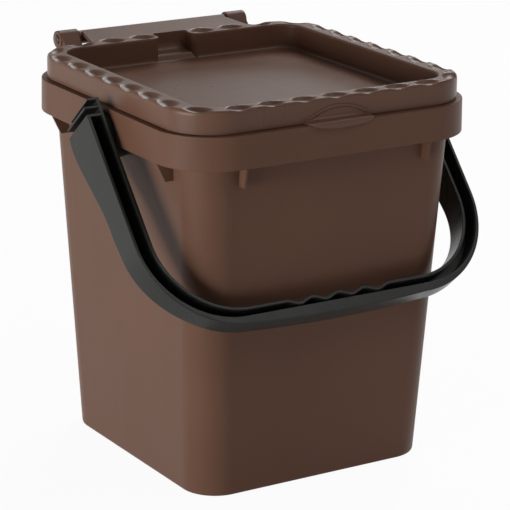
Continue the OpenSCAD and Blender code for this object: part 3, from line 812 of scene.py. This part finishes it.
def make_pin(sizes, bucket, hinge):
    """One headed hinge pin on the right-hand side."""
    head = sizes.barrel_len / 2 + KNUCKLE_GAP + bucket.knuckle_len
    start = sizes.barrel_len / 2 - sizes.pin_reach
    rim = 0.4 * MM
    count = 12
    angles = [pi / 2 * k / count for k in range(count)]
    dome = [(head + rim + (sizes.pin_head_t - rim) * sin(a), sizes.pin_head_r * cos(a)) for a in angles]
    profile = [(start, HAIR), (start, 0.8 * sizes.pin_r), (start + 0.5 * MM, sizes.pin_r),
               (head, sizes.pin_r), (head, sizes.pin_head_r - 0.2 * MM)]
    profile += dome + [(head + sizes.pin_head_t, HAIR)]
    profile = [Vector(point) for point in profile]
    return turned("hinge_pin_right_moulding", profile, Vector((0, hinge.y, hinge.z)))


# ------------------------------------------------------------------ handle

def ease(share):
    share = min(max(share, 0), 1)
    return share * share * (3 - 2 * share)


def bail_depth(sizes, along):
    """Depth of the handle below its open face at a distance from the pivots."""
    grip_in = sizes.reach - sizes.grip_w
    end, pivot, arm = sizes.depth_end, sizes.depth_pivot, sizes.depth_arm
    if along < 0:
        bend = 0.6 * sizes.arm_end
        mid = end + 0.15 * sizes.arm_end
        if along < -bend:
            return end + (mid - end) * (along + sizes.arm_end) / (sizes.arm_end - bend)
        return mid + (pivot - mid) * (along + bend) / bend
    if along < grip_in / 2:
        return pivot + (arm - pivot) * ease(along / sizes.depth_run)
    share = min(1, (2 * along - grip_in) / grip_in)
    return arm + (sizes.depth_grip - arm) * share ** 1.2


def wave(sizes, across):
    if abs(across) > sizes.wave_count * sizes.wave_pitch / 2:
        return 0
    return sizes.wave_depth * (1 - cos(2 * pi * across / sizes.wave_pitch)) / 2


def ray_to_circle(start, way, centre, radius):
    """Distance along a ray to the far side of a circle."""
    offset = start - centre
    middle = way.dot(offset)
    return -middle + sqrt(middle * middle - offset.length_squared + radius * radius)


class Bail:
    """Rings of the handle's channel section, from one arm's end to the other's."""

    def __init__(self, sizes, pivot):
        self.sizes = sizes
        self.pivot = pivot
        self.grip_in = sizes.reach - sizes.grip_w
        self.arm_out = sizes.arm_in + sizes.arm_w
        self.rings = []

    def place(self, across, along, lift):
        """A point of the handle's own plane in the frame: along runs from the pivots to the grip."""
        tilt = self.sizes.tilt
        return self.pivot + Vector((
            across, -along * cos(tilt) - lift * sin(tilt), -along * sin(tilt) + lift * cos(tilt)))

    def ring(self, base, way, edges, state="open", shrink=0.0):
        """One section: edges are the distances of the channel's four faces from the base."""
        sizes = self.sizes
        inner, channel_in, channel_out, outer = edges
        face = sizes.face

        def under(reach):
            return face - bail_depth(sizes, base.y + way.y * reach)

        all_round = shrink if state == "end" else 0.0
        floor_in, floor_out = (under(reach) + sizes.wall for reach in (channel_in, channel_out))
        if state != "open":
            floor_in = floor_out = face - shrink
        if state == "slot":
            channel_out = outer = channel_in
            floor_in = floor_out = face
        outer -= shrink
        corners = [
            (inner + all_round, under(inner) + all_round), (inner + all_round, face - all_round),
            (channel_in, face - all_round), (channel_in, floor_in), (channel_out, floor_out),
            (channel_out, face - shrink), (outer, face - shrink),
            (outer, under(outer) + shrink),
        ]
        outline = soften([(corner, sizes.edge) for corner in corners], 3, closed=True)
        points = [(base + way * point.x, point.y) for point in outline]
        self.rings.append([self.place(spot.x, spot.y, lift) for spot, lift in points])

    def arm_edges(self, along):
        """The arm's four faces, with the outer one bevelled in towards the arm's end."""
        sizes = self.sizes
        outer = self.arm_out - sizes.arm_bevel * max(0, 1 - (along + sizes.arm_end) / sizes.rib_pitch)
        return (sizes.arm_in, sizes.arm_in + sizes.wall, min(self.arm_out - sizes.wall, outer - MM), outer)

    def arm_ring(self, side, along, state="open", shrink=0.0):
        self.ring(Vector((0, along)), Vector((side, 0)), self.arm_edges(along), state, shrink)

    def arm_stops(self):
        """Stations along an arm from its end to the bend: distance, state and shrink."""
        sizes = self.sizes
        soft = 0.35 * MM
        stops = []
        for rib in range(sizes.rib_count):
            start = rib * sizes.rib_pitch - sizes.arm_end
            stop = start + sizes.rib_t
            stops += [(start, "solid" if rib else "end", soft), (start + soft, "solid", 0),
                      (stop - soft, "solid", 0)]
            if rib < sizes.rib_count - 1:
                stops += [(stop, "solid", soft), (stop, "slot", 0), (start + sizes.rib_pitch, "slot", 0)]
            else:
                stops += [(stop, "solid", 0), (stop, "open", 0)]
        bend = self.grip_in - sizes.bend_in
        count = 44
        stops += [(stop + (bend - stop) * k / count, "open", 0) for k in range(1, count)]
        return stops

    def bend_rings(self, side):
        """Rings round a bend, from the arm to the grip on the right and back on the left."""
        sizes = self.sizes
        start = Vector((self.arm_out - sizes.bend_out, sizes.reach - sizes.bend_out))
        inside = Vector((sizes.arm_in - sizes.bend_in, self.grip_in - sizes.bend_in))
        channel = Vector((self.arm_out - sizes.wall - sizes.bend_channel,
                          sizes.reach - sizes.grip_band - sizes.bend_channel))
        count = 36
        angles = [pi / 2 * k / count for k in range(count + 1)]
        for angle in (angles if side < 0 else reversed(angles)):
            way = Vector((cos(angle), sin(angle)))
            edges = (
                ray_to_circle(start, way, inside, sizes.bend_in),
                ray_to_circle(start, way, inside, sizes.bend_in + sizes.wall),
                ray_to_circle(start, way, channel, sizes.bend_channel),
                ray_to_circle(start, way, start, sizes.bend_out))
            self.ring(Vector((side * start.x, start.y)), Vector((side * way.x, way.y)), edges)

    def grip_rings(self):
        sizes = self.sizes
        half = self.arm_out - sizes.bend_out
        count = 112
        for k in range(1, count):
            across = half * (2 * k / count - 1)
            dip = wave(sizes, across)
            bow = sizes.grip_bow * (1 - (across / half) ** 2)
            edges = (self.grip_in + dip, self.grip_in + sizes.wall + dip,
                     sizes.reach - sizes.grip_band, sizes.reach + bow)
            self.ring(Vector((across, 0)), Vector((0, 1)), edges)

    def make(self):
        stops = self.arm_stops()
        for stop in stops:
            self.arm_ring(-1, *stop)
        self.bend_rings(-1)
        self.grip_rings()
        self.bend_rings(1)
        for stop in reversed(stops):
            self.arm_ring(1, *stop)
        return loft("handle_bail", self.rings)


def make_boss(handle, bucket, pivot):
    """One boss with its blind bore, on the right-hand side."""
    start = wall_half(bucket, bucket.height).x + handle.boss_gap
    bore = bucket.stud_r + handle.run_clear
    outer = bucket.stud_r + handle.boss_wall
    blind = handle.arm_in - handle.wall
    sunk = handle.arm_in + 0.8 * MM
    profile = soften([
        ((blind, HAIR), 0), ((blind, bore), 0), ((start, bore), 0.5 * MM), ((start, outer), 0.8 * MM),
        ((sunk, outer), 0), ((sunk, HAIR), 0)], 3)
    return turned("handle_boss_right", profile, pivot, steps=64)


# ------------------------------------------------------------------ stage

def make_floor():
    bpy.ops.object.select_all(action="DESELECT")
    bpy.ops.mesh.primitive_plane_add(size=14, location=(0, 0, 0))
    floor = bpy.context.object
    floor.name = floor.data.name = "floor"
    material = bpy.data.materials.new("Pale floor")
    material.use_nodes = True
    tree = material.node_tree
    tree.nodes.clear()
    output = tree.nodes.new("ShaderNodeOutputMaterial")
    paper = add_node(tree, "ShaderNodeBsdfDiffuse", {"Color": (0.86, 0.86, 0.86, 1)})
    bright = add_node(tree, "ShaderNodeEmission", {"Color": (1, 1, 1, 1), "Strength": 1})
    share = add_node(tree, "ShaderNodeMath", {1: 0.95}, operation="MULTIPLY")
    tree.links.new(seen_rays(tree), share.inputs[0])
    mix_surface(tree, output, share.outputs[0], paper, bright)
    floor.data.materials.append(material)


def seen_rays(tree):
    """One for rays from the camera, reflections and glass, nought for the light on the object."""
    path = tree.nodes.new("ShaderNodeLightPath")
    glossy = add_node(tree, "ShaderNodeMath", operation="MAXIMUM")
    through = add_node(tree, "ShaderNodeMath", operation="MAXIMUM")
    tree.links.new(path.outputs["Is Camera Ray"], glossy.inputs[0])
    tree.links.new(path.outputs["Is Glossy Ray"], glossy.inputs[1])
    tree.links.new(glossy.outputs[0], through.inputs[0])
    tree.links.new(path.outputs["Is Transmission Ray"], through.inputs[1])
    return through.outputs[0]


def mix_surface(tree, output, share, lit, seen):
    """Blend what lights the object with what rays see, by a share."""
    mix = tree.nodes.new("ShaderNodeMixShader")
    for number, source in enumerate((share, lit.outputs[0], seen.outputs[0])):
        tree.links.new(source, mix.inputs[number])
    tree.links.new(mix.outputs[0], output.inputs["Surface"])


def make_world(studio):
    """A dim even light all round, seen as white at the horizon and grey above."""
    world = bpy.data.worlds.new("Studio")
    bpy.context.scene.world = world
    world.use_nodes = True
    tree = world.node_tree
    tree.nodes.clear()
    output = tree.nodes.new("ShaderNodeOutputWorld")
    light = add_node(tree, "ShaderNodeBackground", {"Color": (1, 1, 1, 1), "Strength": studio.surround})
    white = add_node(tree, "ShaderNodeBackground", {"Strength": 1})
    place = tree.nodes.new("ShaderNodeTexCoord")
    split = tree.nodes.new("ShaderNodeSeparateXYZ")
    room = add_map(tree, 0.02, 0.3, 1.0, 0.4)
    tree.links.new(place.outputs["Generated"], split.inputs[0])
    tree.links.new(split.outputs["Z"], room.inputs[0])
    tree.links.new(room.outputs[0], white.inputs["Color"])
    mix_surface(tree, output, seen_rays(tree), light, white)


def make_light(name, place, size, power, target=Vector((0, 0, 0.14))):
    data = bpy.data.lights.new(name, "AREA")
    data.shape = "RECTANGLE"
    data.size, data.size_y = size
    data.energy = power
    light = bpy.data.objects.new(name, data)
    light.location = place
    light.rotation_euler = (target - Vector(place)).to_track_quat("-Z", "Y").to_euler()
    bpy.context.collection.objects.link(light)
    return light


def make_camera(studio):
    level = cos(studio.elevation)
    back = Vector((sin(studio.azimuth) * level, -cos(studio.azimuth) * level, sin(studio.elevation)))
    data = bpy.data.cameras.new("Camera")
    data.lens = studio.lens
    data.sensor_width = 36
    data.clip_end = 50
    camera = bpy.data.objects.new("Camera", data)
    camera.location = Vector(studio.target) + back * studio.distance
    look = (-back).to_track_quat("-Z", "Y").to_matrix()
    camera.rotation_euler = (look @ Matrix.Rotation(studio.roll, 3, "Z")).to_euler()
    bpy.context.collection.objects.link(camera)
    bpy.context.scene.camera = camera


# ------------------------------------------------------------------ operators

class CaddyOperator:
    """What the caddy's operators share"""
    bl_options = {"REGISTER", "UNDO"}

    def execute(self, context):
        scene = context.scene
        self.build(scene.caddy_bucket, scene.caddy_lid, scene.caddy_handle, scene.caddy_finish)
        return {"FINISHED"}


class OBJECT_OT_caddy_bucket(CaddyOperator, bpy.types.Operator):
    """Model the bucket with its collar"""
    bl_idname = "object.caddy_bucket"
    bl_label = "Bucket"

    def build(self, bucket, lid, handle, finish):
        pivot = joint_place("handle_swing")
        shell = make_bucket_shell(bucket)
        cutter = notch_cutter(bucket, handle, pivot)
        for notch in (cutter, mirrored(cutter, "notch_left")):
            combine(shell, notch, "DIFFERENCE")
        settle_bucket(shell, finish)


class OBJECT_OT_caddy_gussets(CaddyOperator, bpy.types.Operator):
    """Model the gussets below the collar"""
    bl_idname = "object.caddy_gussets"
    bl_label = "Gussets"

    def build(self, bucket, lid, handle, finish):
        settle_bucket(make_gussets(bucket), finish)


class OBJECT_OT_caddy_brackets(CaddyOperator, bpy.types.Operator):
    """Model the hinge brackets and the pivot studs"""
    bl_idname = "object.caddy_brackets"
    bl_label = "Brackets and studs"

    def build(self, bucket, lid, handle, finish):
        bracket = make_bracket(bucket, lid, joint_place("lid_hinge"))
        bracket.name = bracket.data.name = "bucket_bracket_right"
        stud = make_stud(bucket, handle, joint_place("handle_swing"))
        for piece in (bracket, stud):
            other = mirrored(piece, piece.name.replace("right", "left"))
            for made in (piece, other):
                settle_bucket(made, finish)


class OBJECT_OT_caddy_lid(CaddyOperator, bpy.types.Operator):
    """Model the lid with its dimpled rim, sunk panel and alcove"""
    bl_idname = "object.caddy_lid"
    bl_label = "Lid"

    def build(self, bucket, lid, handle, finish):
        hinge = joint_place("lid_hinge")
        floor = bucket.height + lid.seam + 0.3 * MM + lid.wall
        shell = make_lid_shell(lid, bucket)
        block = alcove_prism(lid, "alcove_block", lid.wall, False, floor - lid.wall,
                             lid.crest - 0.5 * MM)
        combine(shell, block, "UNION")
        leaf = make_leaf(lid, hinge)
        for piece, grow in ((shell, 0), (leaf, 0.3 * MM)):
            combine(piece, alcove_cutter(lid, floor, grow), "DIFFERENCE")
            settle_lid(piece, finish)
        settle_lid(make_barrel(lid, handle, hinge), finish)


class OBJECT_OT_caddy_tab(CaddyOperator, bpy.types.Operator):
    """Model the lid's thumb tab"""
    bl_idname = "object.caddy_tab"
    bl_label = "Thumb tab"

    def build(self, bucket, lid, handle, finish):
        settle_lid(make_tab(lid, bucket), finish)


class OBJECT_OT_caddy_pins(CaddyOperator, bpy.types.Operator):
    """Model the two headed hinge pins"""
    bl_idname = "object.caddy_pins"
    bl_label = "Hinge pins"

    def build(self, bucket, lid, handle, finish):
        right = make_pin(lid, bucket, joint_place("lid_hinge"))
        left = mirrored(right, "hinge_pin_left_moulding")
        material = plastic("Pin plastic", finish.pin, polish=0.30, cloud=0.03)
        settle(right, "bucket", "hinge_pin_right", material)
        settle(left, "bucket", "hinge_pin_left", material)


class OBJECT_OT_caddy_handle(CaddyOperator, bpy.types.Operator):
    """Model the bail handle with its bosses, end ribs and finger waves"""
    bl_idname = "object.caddy_handle"
    bl_label = "Handle"

    def build(self, bucket, lid, handle, finish):
        pivot = joint_place("handle_swing")
        bail = Bail(handle, pivot).make()
        boss = make_boss(handle, bucket, pivot)
        material = plastic("Handle plastic", finish.grey, polish=0.29, cloud=0.04, specular=0.15)
        for piece in (bail, boss, mirrored(boss, "handle_boss_left")):
            settle(piece, "handle", "handle", material)


class OBJECT_OT_caddy_stage(bpy.types.Operator):
    """Set up the floor, the light and the camera"""
    bl_idname = "object.caddy_stage"
    bl_label = "Stage"
    bl_options = {"REGISTER", "UNDO"}

    def execute(self, context):
        studio = context.scene.caddy_studio
        context.scene.view_settings.view_transform = "Standard"
        make_floor()
        make_world(studio)
        make_light("Key", (-2.4, -0.3, 0.24), (1.8, 0.46), studio.key)
        make_light("Back", (1.4, 1.3, 2.0), (1.2, 1.2), studio.back)
        make_light("Front", (0.9, -1.2, 2.2), (1.4, 1.0), studio.front)
        make_camera(studio)
        return {"FINISHED"}


class VIEW3D_PT_caddy(bpy.types.Panel):
    """The caddy's tools in the sidebar"""
    bl_label = "Compost caddy"
    bl_idname = "VIEW3D_PT_caddy"
    bl_space_type = "VIEW_3D"
    bl_region_type = "UI"
    bl_category = "Caddy"

    def draw(self, context):
        for operator in OPERATORS:
            self.layout.operator(operator.bl_idname)
        for place in GROUPS:
            group = getattr(context.scene, place)
            box = self.layout.box()
            for name in group.__annotations__:
                box.prop(group, name)


GROUPS = {
    "caddy_bucket": CaddyBucketSizes,
    "caddy_lid": CaddyLidSizes,
    "caddy_handle": CaddyHandleSizes,
    "caddy_finish": CaddyFinish,
    "caddy_studio": CaddyStudio,
}
OPERATORS = (
    OBJECT_OT_caddy_bucket, OBJECT_OT_caddy_gussets, OBJECT_OT_caddy_brackets, OBJECT_OT_caddy_lid,
    OBJECT_OT_caddy_tab, OBJECT_OT_caddy_pins, OBJECT_OT_caddy_handle, OBJECT_OT_caddy_stage,
)


def register():
    for group in GROUPS.values():
        bpy.utils.register_class(group)
    for name, group in GROUPS.items():
        setattr(bpy.types.Scene, name, bpy.props.PointerProperty(type=group))
    for operator in OPERATORS:
        bpy.utils.register_class(operator)
    bpy.utils.register_class(VIEW3D_PT_caddy)


def unregister():
    bpy.utils.unregister_class(VIEW3D_PT_caddy)
    for operator in reversed(OPERATORS):
        bpy.utils.unregister_class(operator)
    for name, group in GROUPS.items():
        delattr(bpy.types.Scene, name)
        bpy.utils.unregister_class(group)


def main():
    register()
    bpy.ops.object.caddy_bucket()
    bpy.ops.object.caddy_gussets()
    bpy.ops.object.caddy_brackets()
    bpy.ops.object.caddy_lid()
    bpy.ops.object.caddy_tab()
    bpy.ops.object.caddy_pins()
    bpy.ops.object.caddy_handle()
    bpy.ops.object.caddy_stage()


if __name__ == "__main__":
    main()
